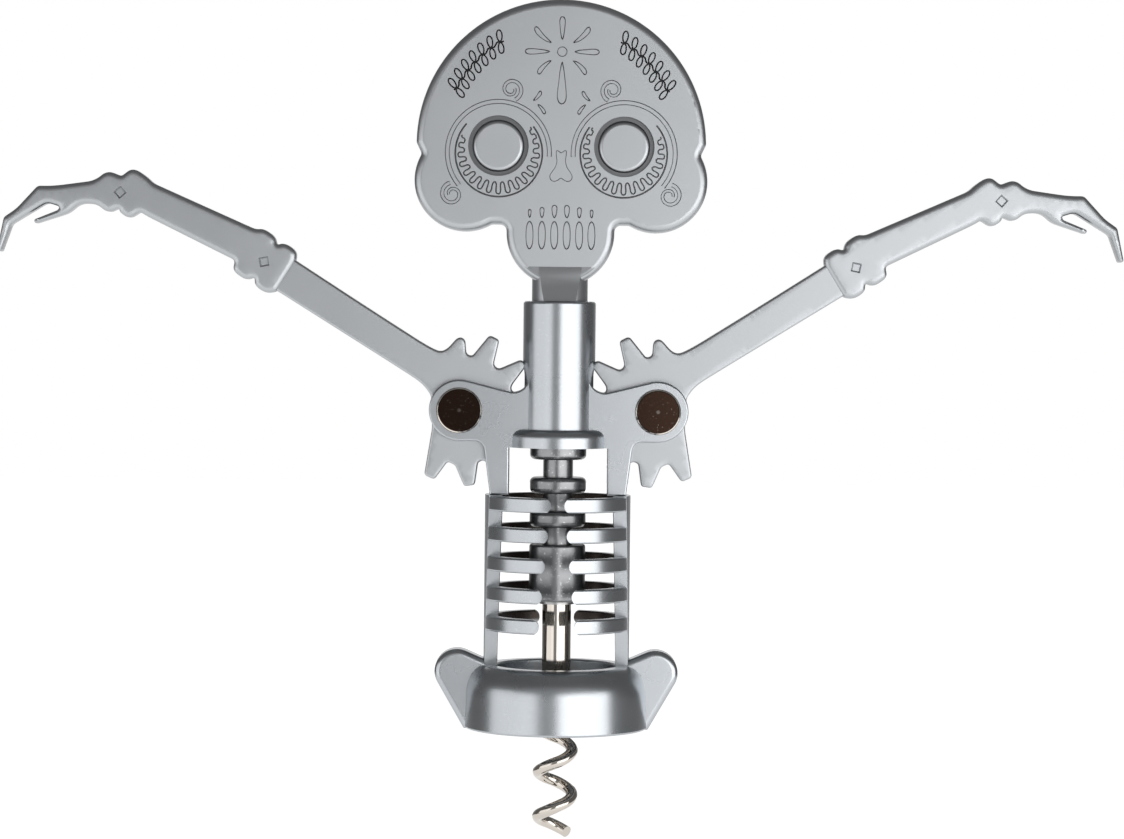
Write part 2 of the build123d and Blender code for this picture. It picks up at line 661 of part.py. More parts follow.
# Skull handle: a thick rounded plate on a round neck
with BuildPart() as skull_handle:
    with BuildSketch(Plane.XZ) as skull_outline:
        with Locations((0, dome_height)):
            Circle(dome_radius)
        with Locations((0, dome_cut_height - dome_radius)):
            Rectangle(2 * (dome_radius + overrun), 2 * dome_radius, mode=Mode.SUBTRACT)
        dome_edge = sqrt(dome_radius**2 - (dome_cut_height - dome_height) ** 2)
        temple_height = cheek_height + sqrt(cheek_radius**2 - (temple_reach - cheek_reach) ** 2)
        with BuildLine():
            Polyline(
                (-dome_edge, dome_cut_height),
                (-temple_reach, temple_height),
                (-cheek_reach, cheek_height),
                (cheek_reach, cheek_height),
                (temple_reach, temple_height),
                (dome_edge, dome_cut_height),
                close=True,
            )
        make_face()
        with Locations((0, (cheek_arch_height + cheek_height) / 2)):
            Rectangle(2 * cheek_reach, cheek_height - cheek_arch_height)
        with GridLocations(2 * cheek_reach, 0, 2, 1):
            with Locations((0, cheek_height)):
                Circle(cheek_radius)
        with Locations((0, jaw_height)):
            Circle(jaw_radius)
        arch_inner = sqrt(jaw_radius**2 - (cheek_arch_height - jaw_height) ** 2)
        arch_outer = cheek_reach - sqrt(cheek_radius**2 - (cheek_height - cheek_arch_height) ** 2)
        arch_round = min(notch_round, abs(arch_outer - arch_inner) / 2)
        fillet(skull_outline.vertices().filter_by(lambda corner: corner.Y < cheek_height), arch_round)
        for side in sides.values():
            dome_corner = (side * dome_edge, dome_cut_height, 0)
            fillet(skull_outline.vertices().sort_by_distance(dome_corner)[0], temple_round)
            temple_corner = (side * temple_reach, temple_height, 0)
            fillet(skull_outline.vertices().sort_by_distance(temple_corner)[0], temple_notch_round)
    extrude(amount=skull_thickness / 2, both=True)
    fillet(skull_handle.faces().filter_by(Axis.Y).edges(), skull_edge_round)
    with BuildSketch(at_height(neck_bottom)):
        Circle(neck_radius)
    extrude(amount=neck_flat_top - neck_bottom)
    flat_depth = sqrt(neck_radius**2 - (neck_flat_width / 2) ** 2)
    for face in (1, -1):
        with BuildSketch(Plane.YZ):
            with BuildLine():
                Polyline(
                    (face * flat_depth, neck_flat_top),
                    (face * (flat_depth + neck_flat_lean), tube_top),
                    (face * (flat_depth + 2 * neck_flat_lean), neck_bottom),
                    (face * (neck_radius + overrun), neck_bottom),
                    (face * (neck_radius + overrun), neck_flat_top),
                    close=True,
                )
            make_face()
        extrude(amount=neck_flat_width / 2, both=True, mode=Mode.SUBTRACT)
        with BuildSketch(facing_front(face * skull_thickness / 2)):
            with GridLocations(2 * eye_reach, 0, 2, 1):
                with Locations((0, eye_height)):
                    Circle(eye_boss_radius + eye_groove_width)
                    Circle(eye_boss_radius, mode=Mode.SUBTRACT)
        extrude(amount=-face * eye_groove_depth, mode=Mode.SUBTRACT)
    with BuildSketch(at_height(neck_bottom)):
        Circle(shaft_radius + seam_clearance)
    extrude(amount=shaft_in_neck + seam_clearance, mode=Mode.SUBTRACT)
    with BuildSketch(Plane.XZ):
        with Locations((0, pin_height)):
            Circle(pin_radius + seam_clearance)
    extrude(amount=neck_radius + overrun, both=True, mode=Mode.SUBTRACT)
skull_handle.part.label = "skull_handle"
export_step(skull_handle.part, "parts/skull_handle.step")


# Cross pin that locks the shaft in the neck
with BuildPart() as neck_pin:
    with BuildSketch(Plane.XZ):
        with Locations((0, pin_height)):
            Circle(pin_radius)
    extrude(amount=flat_depth + neck_flat_lean, both=True)
neck_pin.part.label = "neck_pin"
export_step(neck_pin.part, "parts/neck_pin.step")
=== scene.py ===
import json
from math import cos, pi, radians, sin, sqrt

import bmesh
import bpy
import numpy as np
from mathutils import Matrix, Vector
from mathutils.geometry import delaunay_2d_cdt


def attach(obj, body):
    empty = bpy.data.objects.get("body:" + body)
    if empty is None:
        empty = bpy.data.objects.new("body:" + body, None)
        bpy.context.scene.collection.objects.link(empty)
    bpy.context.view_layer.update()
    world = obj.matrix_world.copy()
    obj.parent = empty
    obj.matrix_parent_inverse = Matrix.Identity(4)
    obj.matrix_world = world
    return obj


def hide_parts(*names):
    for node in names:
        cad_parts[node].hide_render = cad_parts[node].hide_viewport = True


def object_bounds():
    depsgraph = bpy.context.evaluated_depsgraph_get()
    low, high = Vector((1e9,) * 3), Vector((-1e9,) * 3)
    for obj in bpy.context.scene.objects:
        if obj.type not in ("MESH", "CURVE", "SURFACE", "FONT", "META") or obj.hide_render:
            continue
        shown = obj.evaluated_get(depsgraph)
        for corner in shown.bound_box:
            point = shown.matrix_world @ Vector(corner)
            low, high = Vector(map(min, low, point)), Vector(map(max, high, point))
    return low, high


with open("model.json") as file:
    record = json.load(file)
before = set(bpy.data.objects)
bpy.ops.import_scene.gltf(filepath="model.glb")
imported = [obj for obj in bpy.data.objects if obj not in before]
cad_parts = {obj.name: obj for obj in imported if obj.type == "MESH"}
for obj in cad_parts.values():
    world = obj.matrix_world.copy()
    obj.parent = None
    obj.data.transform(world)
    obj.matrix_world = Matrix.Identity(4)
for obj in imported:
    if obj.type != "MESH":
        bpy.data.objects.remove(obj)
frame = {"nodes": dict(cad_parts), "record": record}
nodes = frame["nodes"]
cad_low, cad_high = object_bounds()

MM = 0.001
joints = {joint["name"]: joint for joint in frame["record"]["behaviour"]["joints"]}
PIVOT = [joints["right_lever_swing"]["pos_m"][axis] / MM for axis in (0, 2)]  # right pivot, across and up, mm

# Carving: sizes in mm, places on the skull's face as across and up, given for the right side
FACE = 4.0  # depth of the skull's flat faces from its middle plane
NECK_TOP = 94.4  # the neck's flats begin here
OVERRUN = 0.4  # cutters stand out of the face by this much
CARVE_DEPTH = 0.35
CARVE_SLOPE = 0.17  # a wall leans in by this much
LEAST_FLOOR = 0.03  # half width that a groove's floor keeps
LEAST_LEAF = 0.012  # half width that a leaf keeps at its ends
PLAIN, RECESS, LINE, DEEP, NECK = range(5)  # kinds of carved faces
PAINTED_SHADE = np.array([0.0, 0.62, 0.66, 0.95, 0.45])  # painted shade of each kind: how much darker it is
RECESS_FACING, NECK_FACING = 0.95, 0.9  # a floor or a flat has at least this much of its normal along the depth
SKULL_SHARP = radians(32)  # edges steeper than this stay sharp
FLAT_TILT = radians(35)  # faces less tilted than this meet the flat face smoothly

FLOWER = np.array([0.0, 138.2])
DISC_RADIUS = 1.05
# Leaves by their tip and end from the flower's middle, half width, taper and bend
MIDDLE_LEAVES = [((0, 2.4), (0, 7.2), 0.78, 0.6, 0.0), ((0, -2.0), (0, -10.7), 1.25, 0.75, 0.0)]
SIDE_LEAVES = [((2.5, 0.0), (7.6, 0.0), 0.8, 0.6, 0.0), ((2.2, 1.8), (5.6, 5.0), 0.72, 0.6, -0.35),
               ((2.2, -1.8), (4.9, -4.6), 0.66, 0.6, 0.3), ((5.8, -10.0), (4.2, -8.0), 0.5, 0.5, 0.2),
               ((4.9, -10.7), (3.35, -12.7), 0.48, 0.5, -0.15)]

EYE = np.array([12.8, 119.0])
BOSS_RADIUS = 5.3
BOSS_GROOVE = 0.85
BOSS_DEPTH = 1.05
BOSS_SHOULDER = 0.95
BOSS_PLAIN = 0.6  # past the boss's edge, walls stay plain this far
FOOT_INSIDE, FOOT_OUTSIDE = 0.03, 0.05  # the line at the boss's foot reaches past its groove by these
FOOT_SUNK = 0.3  # and lies at least this far below the face
RING = np.array([12.7, 117.5])  # centre of the ring round the eye
RING_RADIUS = 8.85
RING_SPAN = (142, 402)  # degrees
RING_HALF = 0.17
RING_SLOPE = 0.12
LACE_SWINGS = 17
LACE_SPAN = (140, 386)  # degrees
LACE_INNER = 6.5  # from the eye's centre
LACE_GAP = (0.6, 0.3)  # inward gap, and how much less it is at the top
LACE_OUTER = 8.3  # from the ring's centre
LACE_LOOP = radians(1.3)  # how far the line leans over to round its loops
LACE_HALF = 0.145
LACE_SLOPE = 0.1

BROW = (12.8, 117.6)
BROW_RADIUS = 10.38
BROW_SPAN = (184, -40)  # degrees
BROW_HALF = 0.5
# Scrolls by centre, outer radius, start and stop in degrees, and number of points
SCROLLS = [((10.3, 130.45), 2.25, -112, -550, 110), ((22.1, 109.1), 2.3, 78, -370, 120)]
SCROLL_HEART = 0.72  # inner radius
SCROLL_HALF = (0.45, 0.32)  # half width at its start and its heart
SCROLL_DEPTH = 0.42
SCROLL_SLOPE = 0.16

SPRIG_CENTRE = (0, 119.4)
SPRIG_REACH = 24.2
SPRIG_LEANS = np.radians(np.linspace(31.5, 62.5, 7))  # from upright, one for each pair of loops
STEM_SPAN = (-0.35, 6.25)  # in pairs of loops
STEM_WAVE = 0.22
STEM_HALF = 0.17
STEM_DEPTH = 0.9
LOOP_HALF = 0.15
LOOP_DEPTH = 0.85
LOOP_FOOT = 0.12  # from the stem's line
LOOP_WIDE = 0.54
LOOP_TAPER = 0.12
LOOP_TURNS = ((-24, 2.3), (158, 2.2))  # turn from the stem's lean in degrees, and length
DEEP_SLOPE = 0.05

TEETH = [(1.27, 107.1, 0.72), (3.8, 106.65, 0.6), (6.3, 106.2, 0.45)]  # across, drop's top and half width
TOOTH_FOOT, TOOTH_TOP = 98.0, 103.8
TOOTH_HALF = 0.8
DROP_FOOT = 104.4

HALF_NOSE = np.array([(0, 117.75), (0.6, 118.15), (1.05, 118.1), (1.1, 117.2), (0.95, 116.0), (1.25, 114.8),
                      (2.05, 113.6), (2.35, 112.8), (2.0, 112.0), (1.3, 111.8), (0.6, 112.05)])
NOSE_FOOT = (0, 112.45)
NOSE_SLOPE = 0.15


def read_values(items, field, width=1, kind=np.float32):
    """One field of all the items as an array, with a row for each item where the field has several parts."""
    values = np.empty(len(items) * width, kind)
    items.foreach_get(field, values)
    return values.reshape(-1, width) if width > 1 else values


def add_object(name, data):
    """A new object with the given data, linked to the scene."""
    made = bpy.data.objects.new(name, data)
    bpy.context.scene.collection.objects.link(made)
    return made


def face_outwards(mesh):
    """Turns all faces of a closed mesh outwards."""
    whole = bmesh.new()
    whole.from_mesh(mesh)
    bmesh.ops.recalc_face_normals(whole, faces=whole.faces)
    whole.to_mesh(mesh)
    whole.free()


def closed_curve(points, count):
    """A smooth closed curve through the points: each span is the cubic of its four nearest points."""
    p = np.asarray(points, float)
    t = np.linspace(0, len(p), count, endpoint=False)
    i = t.astype(int)
    f = (t - i)[:, None]
    a, b, c, d = (p[(i + k) % len(p)] for k in (-1, 0, 1, 2))
    return 0.5 * (2 * b + (c - a) * f + (2 * a - 5 * b + 4 * c - d) * f**2 + (3 * b - a - 3 * c + d) * f**3)


def right_normals(outline):
    """Unit normals to the right of the way round a closed outline: a point's neighbours give its direction."""
    ahead = np.roll(outline, -1, axis=0) - np.roll(outline, 1, axis=0)
    return np.stack([ahead[:, 1], -ahead[:, 0]], axis=1) / np.linalg.norm(ahead, axis=1)[:, None]


def arc(centre, radius, start, stop, count=64):
    """Points on a circle from one angle to another, in degrees; the radius may change along the way."""
    a = np.radians(np.linspace(start, stop, count))
    r = np.broadcast_to(radius, count)
    return np.stack([centre[0] + r * np.cos(a), centre[1] + r * np.sin(a)], axis=1)


def mirrored(points, side):
    """The points as they are for the right side, or mirrored for the left."""
    return np.asarray(points, float) * np.array([side, 1.0])


class Cutter:
    """Gathers groove and recess shapes for the skull's faces as one mesh, in millimetres."""

    def __init__(self):
        self.points = []
        self.faces = []
        self.kinds = []
        self.count = 0

    def rings(self, rings, closed, kind):
        """Joins rings of equal length into a tube, with an end face at each end unless it is closed."""
        n, m = rings.shape[:2]
        index = self.count + np.arange(n * m).reshape(n, m)
        after = np.roll(index, -1, axis=0) if closed else index[1:]
        here = index if closed else index[:-1]
        side = np.roll(here, -1, axis=1), np.roll(after, -1, axis=1)
        quads = np.stack([here, side[0], side[1], after], axis=-1).reshape(-1, 4)
        self.faces.extend(quads.tolist())
        if not closed:
            self.faces.append(index[0, ::-1].tolist())
            self.faces.append(index[-1].tolist())
        self.points.append(rings.reshape(-1, 3))
        self.count += n * m
        self.kinds += [kind] * (len(self.faces) - len(self.kinds))

    def groove(self, path, half, depth, run, kind, closed=False):
        """A groove along a path on both faces: its cross section is a trapezium with walls that lean by run."""
        path = np.asarray(path, float)
        if closed:
            ahead = np.roll(path, -1, axis=0) - np.roll(path, 1, axis=0)
        else:
            ahead = np.gradient(path, axis=0)
        ahead /= np.linalg.norm(ahead, axis=1)[:, None]
        across = np.stack([-ahead[:, 1], ahead[:, 0]], axis=1)
        half = np.broadcast_to(half, len(path))[:, None]
        floor = np.maximum(half - run, LEAST_FLOOR)
        u = np.concatenate([-half, -half, -floor, floor, half, half], axis=1)
        d = np.array([-OVERRUN, 0, depth, depth, 0, -OVERRUN])
        flat = path[:, None, :] + across[:, None, :] * u[:, :, None]
        for face in (-1, 1):
            y = np.broadcast_to(face * (FACE - d), u.shape)
            self.rings(np.stack([flat[:, :, 0], y, flat[:, :, 1]], axis=-1), closed, kind)

    def recess(self, outline, floor, depth):
        """A flat-floored recess on both faces: its walls lean from the outline in to the floor's outline."""
        for face in (-1, 1):
            loops = []
            for loop, sunk in ((outline, -OVERRUN), (outline, 0), (floor, depth)):
                y = np.full(len(loop), face * (FACE - sunk))
                loops.append(np.stack([loop[:, 0], y, loop[:, 1]], axis=-1))
            self.rings(np.stack(loops), False, RECESS)

    def leaf(self, tip, end, half, blunt=4.0, taper=0.6, bend=0.0):
        """A leaf-shaped recess from tip to end. Along its axis, with t from -1 to 1, its half width is half
        times the root of 1 - |t| ** blunt, and it narrows towards the tip by taper. Its axis bows sideways by
        bend."""
        tip, end = np.asarray(tip, float), np.asarray(end, float)
        length = np.linalg.norm(end - tip)
        along = (end - tip) / length
        across = np.array([-along[1], along[0]])
        loops = []
        for inset in (0.0, CARVE_SLOPE):
            t = -np.cos(np.linspace(0, pi, 25))
            width = half * np.sqrt(1 - np.abs(t) ** blunt) * (1 - taper * (1 - t) / 2)
            width = np.maximum(width - inset, LEAST_LEAF)[:, None]
            share = (inset + (1 + t) / 2 * (length - 2 * inset)) / length
            axis = tip + along * (share * length)[:, None] + across * (4 * bend * share * (1 - share))[:, None]
            loops.append(np.concatenate([axis + across * width, (axis - across * width)[::-1]]))
        self.recess(loops[0], loops[1], CARVE_DEPTH)

    def boss(self, centre, radius, groove, depth, shoulder):
        """A round groove that leaves a boss with a rounded shoulder: the shoulder is a quarter ellipse."""
        t = np.linspace(0, pi / 2, 7)
        start = radius - shoulder
        reach = np.concatenate([[start], start + shoulder * np.sin(t), [radius + groove] * 3])
        fall = np.concatenate([[-OVERRUN], depth * (1 - np.cos(t)), [depth, 0, -OVERRUN]])
        turn = np.linspace(0, 2 * pi, 72, endpoint=False)[:, None]
        x, z = centre[0] + reach * np.cos(turn), centre[1] + reach * np.sin(turn)
        for face in (-1, 1):
            self.rings(np.stack([x, face * (FACE - fall) + 0 * turn, z], axis=-1), True, RECESS)

    def build(self, name):
        """The gathered shapes as a mesh object, in metres, with all faces turned outwards."""
        mesh = bpy.data.meshes.new(name)
        mesh.from_pydata((np.concatenate(self.points) * MM).tolist(), [], self.faces)
        mesh.polygons.foreach_set("material_index", self.kinds)
        face_outwards(mesh)
        for _ in PAINTED_SHADE:
            mesh.materials.append(None)
        return add_object(name, mesh)


# Ornament of the skull, in the traditional manner
def carve_flower(cutter):
    """The flower's disc and its upper and lower leaves."""
    disc = arc(FLOWER, DISC_RADIUS, 0, 360, 33)[:-1]
    disc_floor = arc(FLOWER, DISC_RADIUS - CARVE_SLOPE, 0, 360, 33)[:-1]
    cutter.recess(disc, disc_floor, CARVE_DEPTH)
    for tip, end, half, taper, bend in MIDDLE_LEAVES:
        cutter.leaf(FLOWER + tip, FLOWER + end, half, taper=taper, bend=bend)


def carve_side_leaves(cutter, side):
    """The flower's leaves on one side."""
    for tip, end, half, taper, bend in SIDE_LEAVES:
        tip, end = FLOWER + mirrored(tip, side), FLOWER + mirrored(end, side)
        cutter.leaf(tip, end, half, taper=taper, bend=side * bend)


def carve_eye(lines, bosses, side):
    """An eye's boss, and lace between it and its ring. The lace swings between two circles by a cosine, and a
    sine of twice the pace leans it over, which rounds its loops."""
    bosses.boss(EYE * (side, 1), BOSS_RADIUS, BOSS_GROOVE, BOSS_DEPTH, BOSS_SHOULDER)
    t = np.linspace(0, 2 * pi * LACE_SWINGS, LACE_SWINGS * 28)
    angle = np.radians(LACE_SPAN[0] + (LACE_SPAN[1] - LACE_SPAN[0]) * t / t[-1])
    rise = EYE[1] - RING[1]
    inner = rise * np.sin(angle) + np.sqrt(LACE_INNER**2 - (rise * np.cos(angle)) ** 2)
    inner += LACE_GAP[0] - LACE_GAP[1] * np.sin(angle)
    reach = (inner + LACE_OUTER) / 2 + (LACE_OUTER - inner) / 2 * np.cos(t)
    angle += LACE_LOOP * np.sin(2 * t)
    lace = RING + np.stack([np.cos(angle), np.sin(angle)], axis=1) * reach[:, None]
    lines.groove(mirrored(lace, side), LACE_HALF, CARVE_DEPTH, LACE_SLOPE, LINE)
    ring = arc(RING, RING_RADIUS, *RING_SPAN, 150)
    lines.groove(mirrored(ring, side), RING_HALF, CARVE_DEPTH, RING_SLOPE, LINE)


def carve_brow(bands, scrolls, side):
    """A brow band round the eye, and two scrolls whose radius and width shrink evenly to the heart."""
    band = arc(BROW, BROW_RADIUS, *BROW_SPAN, 150)
    bands.groove(mirrored(band, side), BROW_HALF, CARVE_DEPTH, CARVE_SLOPE, RECESS)
    for centre, radius, start, stop, count in SCROLLS:
        curl = arc(centre, np.linspace(radius, SCROLL_HEART, count), start, stop, count)
        half = np.linspace(*SCROLL_HALF, count)
        scrolls.groove(mirrored(curl, side), half, SCROLL_DEPTH, SCROLL_SLOPE, RECESS)


def on_dome(lean, reach):
    """Places at a lean from upright and a reach from the sprig's centre."""
    return np.stack([np.sin(lean), np.cos(lean)], axis=-1) * np.asarray(reach)[..., None] + SPRIG_CENTRE


def carve_sprig(outer_loops, inner_loops, stems, side):
    """Pairs of drop-shaped loops on a stem that waves by a sine as it follows the dome."""
    t = np.linspace(*STEM_SPAN, 120)
    lean = SPRIG_LEANS[0] + (SPRIG_LEANS[1] - SPRIG_LEANS[0]) * t
    stem = on_dome(lean, SPRIG_REACH + STEM_WAVE * np.sin(2 * pi * t))
    stems.groove(mirrored(stem, side), STEM_HALF, STEM_DEPTH, DEEP_SLOPE, DEEP)
    t = np.linspace(0, 2 * pi, 40, endpoint=False)
    wide = LOOP_WIDE * np.sin(t) * (1 - LOOP_TAPER * np.cos(t))
    for lean in SPRIG_LEANS:
        for target, (turn, length) in zip((outer_loops, inner_loops), LOOP_TURNS):
            way = lean + radians(turn)
            along = np.array([sin(way), cos(way)])
            across = np.array([along[1], -along[0]])
            out = LOOP_FOOT + length * (1 - np.cos(t)) / 2
            loop = on_dome(lean, SPRIG_REACH) + along * out[:, None] + across * wide[:, None]
            target.groove(mirrored(loop, side), LOOP_HALF, LOOP_DEPTH, DEEP_SLOPE, DEEP, closed=True)


def carve_teeth(cutter, side):
    """Long pointed ovals below, small drops above."""
    for across, drop_top, drop_half in TEETH:
        x = side * across
        cutter.leaf((x, TOOTH_FOOT), (x, TOOTH_TOP), TOOTH_HALF, blunt=2.6, taper=0.0)
        cutter.leaf((x, DROP_FOOT), (x, drop_top), drop_half, blunt=3.0, taper=0.45)


def carve_nose(cutter):
    """A smooth closed curve through half an outline and its mirror image."""
    other_half = (HALF_NOSE[1:] * (-1, 1))[::-1]
    nose = closed_curve(np.concatenate([HALF_NOSE, [NOSE_FOOT], other_half]), 88)
    cutter.recess(nose, nose + right_normals(nose) * NOSE_SLOPE, CARVE_DEPTH)


def bare_skull():
    """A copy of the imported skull, merged to one closed mesh, with room for each kind of carved face."""
    mesh = nodes["skull_handle"].data.copy()
    mesh.name = "carved_skull"
    merged = bmesh.new()
    merged.from_mesh(mesh)
    bmesh.ops.remove_doubles(merged, verts=merged.verts, dist=1e-6)
    merged.to_mesh(mesh)
    merged.free()
    if "custom_normal" in mesh.attributes:
        mesh.attributes.remove(mesh.attributes["custom_normal"])
    mesh.materials.clear()
    for _ in PAINTED_SHADE:
        mesh.materials.append(None)
    return add_object("carved_skull", mesh)


def cut_away(piece, cutters):
    """Cuts the gathered shapes out of a piece, one cutter after the other, and keeps the result as its mesh."""
    tools = [cutter.build(f"cutter_{number}") for number, cutter in enumerate(cutters)]
    for tool in tools:
        cut = piece.modifiers.new(tool.name, "BOOLEAN")
        cut.operation = "DIFFERENCE"
        cut.solver = "MANIFOLD"
        cut.object = tool
    graph = bpy.context.evaluated_depsgraph_get()
    carved = bpy.data.meshes.new_from_object(piece.evaluated_get(graph))
    piece.modifiers.clear()
    piece.data = carved
    for tool in tools:
        bpy.data.objects.remove(tool)


def paint_shade_by_kind(mesh):
    """Stores on each face its painted shade, from the kind of cutter that left it, and from its place: the
    floors of recesses and the boss's shoulder stay plain, the foot of the boss is a line, and the neck's flats
    get a painted shade too."""
    kinds = read_values(mesh.polygons, "material_index", kind=np.int32)
    facing = np.abs(read_values(mesh.polygons, "normal", 3)[:, 1])
    x, y, z = np.abs(read_values(mesh.polygons, "center", 3).T) / MM
    from_eye = np.hypot(x - EYE[0], z - EYE[1])
    kinds[(kinds == RECESS) & (facing > RECESS_FACING)] = PLAIN
    kinds[(kinds == RECESS) & (from_eye < BOSS_RADIUS + BOSS_PLAIN)] = PLAIN
    foot = (from_eye > BOSS_RADIUS - FOOT_INSIDE) & (from_eye < BOSS_RADIUS + BOSS_GROOVE + FOOT_OUTSIDE)
    kinds[foot & (y < FACE - FOOT_SUNK)] = LINE
    # Painted shade on the neck's flats
    kinds[(z < NECK_TOP) & (facing > NECK_FACING)] = NECK
    shade = mesh.attributes.new("carved", "FLOAT", "FACE")
    shade.data.foreach_set("value", PAINTED_SHADE[kinds].astype(np.float32))
    mesh.polygons.foreach_set("material_index", 0 * kinds)


def carve_skull():
    """The skull with its ornament: flower, sprigs, brows with scrolls, lace round the eyes, nose and teeth.
    Shapes that touch each other are shared out among three cutters."""
    first, second, third = Cutter(), Cutter(), Cutter()
    carve_flower(first)
    for side in (-1, 1):
        carve_side_leaves(first, side)
        carve_eye(first, second, side)
        carve_brow(first, second, side)
        carve_sprig(first, second, third, side)
        carve_teeth(first, side)
    carve_nose(first)
    skull = bare_skull()
    cut_away(skull, (first, second, third))
    paint_shade_by_kind(skull.data)
    return skull


def settle_normals(mesh, plane):
    """Flat faces at the given depth keep their own normal, and rounded edges that run into them meet it."""
    mesh.shade_smooth()
    mesh.set_sharp_from_angle(angle=SKULL_SHARP)
    corner = read_values(mesh.corner_normals, "vector", 3)
    vertex = read_values(mesh.loops, "vertex_index", kind=np.int32)
    depth = read_values(mesh.vertices, "co", 3)[vertex, 1]
    total = read_values(mesh.polygons, "loop_total", kind=np.int32)
    facing = np.repeat(read_values(mesh.polygons, "normal", 3)[:, 1], total)
    level = (np.abs(np.abs(depth) - plane) < 1e-6) & (np.abs(facing) > cos(FLAT_TILT))
    corner[level] = np.stack([0 * depth, np.sign(depth), 0 * depth], axis=1)[level]
    mesh.normals_split_custom_set(corner)


# Shader groups
SPECK_STEP = (0.66, 0.74)  # noise between which specks begin


def new_group(name, inputs, outputs):
    """An empty shader node group with value inputs and value outputs."""
    group = bpy.data.node_groups.new(name, "ShaderNodeTree")
    for title, value in inputs:
        socket = group.interface.new_socket(title, in_out="INPUT", socket_type="NodeSocketFloat")
        socket.default_value = value
    for title in outputs:
        group.interface.new_socket(title, in_out="OUTPUT", socket_type="NodeSocketFloat")
    return group, group.nodes.new("NodeGroupInput"), group.nodes.new("NodeGroupOutput")


def cast_grain():
    """Fine grain of a plated casting: a height for bumps, a tone that drifts slowly, and scattered specks."""
    sizes = (("Grain Size", 2500.0), ("Drift Size", 60.0), ("Speck Size", 2200.0))
    group, given, out = new_group("cast_grain", sizes, ("Height", "Tone", "Specks"))
    place = group.nodes.new("ShaderNodeTexCoord")
    noises = []
    for (size, _), detail in zip(sizes, (3.0, 4.0, 1.0)):
        noise = group.nodes.new("ShaderNodeTexNoise")
        noise.inputs["Detail"].default_value = detail
        group.links.new(place.outputs["Object"], noise.inputs["Vector"])
        group.links.new(given.outputs[size], noise.inputs["Scale"])
        noises.append(noise.outputs["Fac"])
    height, tone, dots = noises
    few = group.nodes.new("ShaderNodeMapRange")
    few.inputs["From Min"].default_value = SPECK_STEP[0]
    few.inputs["From Max"].default_value = SPECK_STEP[1]
    group.links.new(dots, few.inputs["Value"])
    group.links.new(height, out.inputs["Height"])
    group.links.new(tone, out.inputs["Tone"])
    group.links.new(few.outputs["Result"], out.inputs["Specks"])
    return group


def step_down(group, value, start, stop):
    """A value that falls from 1 to 0 as a length goes from start to stop, in mm."""
    fall = group.nodes.new("ShaderNodeMapRange")
    fall.inputs["From Min"].default_value = start * MM
    fall.inputs["From Max"].default_value = stop * MM
    fall.inputs["To Min"].default_value = 1.0
    fall.inputs["To Max"].default_value = 0.0
    group.links.new(value, fall.inputs["Value"])
    return fall.outputs["Result"]


def combine(group, operation, first, second):
    """Two values joined by a sum, product or the like; the second may be a number."""
    made = group.nodes.new("ShaderNodeMath")
    made.operation = operation
    group.links.new(first, made.inputs[0])
    if isinstance(second, float):
        made.inputs[1].default_value = second
    else:
        group.links.new(second, made.inputs[1])
    return made.outputs[0]


def length_of(group, first, second):
    """The length of a flat vector from its two parts."""
    joined = group.nodes.new("ShaderNodeCombineXYZ")
    group.links.new(first, joined.inputs["X"])
    group.links.new(second, joined.inputs["Y"])
    made = group.nodes.new("ShaderNodeVectorMath")
    made.operation = "LENGTH"
    group.links.new(joined.outputs["Vector"], made.inputs[0])
    return made.outputs["Value"]


# Soft steps of the masks for painted shade and painted highlight, each as the lengths where it begins and ends,
# mm
CAGE_ROOM = (12.8, 13.2)  # from the cage's axis, where its inner walls end
CAGE_TOP = (57.2, 57.6)
CAGE_FOOT = (21.5, 20.5)
CAGE_MIDDLE = (1.0, 0.0)
RIVET_RIM_INSIDE = (4.38, 4.3)
RIVET_RIM_OUTSIDE = (4.55, 4.6)
RIVET_DOT = (0.2, 0.5)
DOT_HIGHLIGHT = 0.12


def painted_light_masks():
    """Masks by place for painted light. Inside is 1 on the inner walls of the rib cage's back half, which get a
    painted shade. The highlight mask is 1 on the rim and the centre dot of the pivot rivets, which get a
    painted highlight."""
    group, _, out = new_group("painted_light_masks", (), ("Inside", "Painted highlight"))
    place = group.nodes.new("ShaderNodeTexCoord")
    parts = group.nodes.new("ShaderNodeSeparateXYZ")
    group.links.new(place.outputs["Object"], parts.inputs["Vector"])
    x, y, z = (parts.outputs[axis] for axis in "XYZ")
    inside = step_down(group, length_of(group, x, y), *CAGE_ROOM)
    for part, step in ((z, CAGE_TOP), (y, CAGE_MIDDLE), (z, CAGE_FOOT)):
        inside = combine(group, "MULTIPLY", inside, step_down(group, part, *step))
    across = combine(group, "SUBTRACT", combine(group, "ABSOLUTE", x, 0.0), PIVOT[0] * MM)
    above = combine(group, "SUBTRACT", z, PIVOT[1] * MM)
    from_pivot = length_of(group, across, above)
    rim_steps = (step_down(group, from_pivot, *step) for step in (RIVET_RIM_INSIDE, RIVET_RIM_OUTSIDE))
    rim = combine(group, "MULTIPLY", *rim_steps)
    dot = combine(group, "MULTIPLY", step_down(group, from_pivot, *RIVET_DOT), DOT_HIGHLIGHT)
    group.links.new(inside, out.inputs["Inside"])
    group.links.new(combine(group, "MAXIMUM", rim, dot), out.inputs["Painted highlight"])
    return group


grain = cast_grain()
masks = painted_light_masks()
GRAIN_HEIGHT = 0.0001  # metres, of a full bump


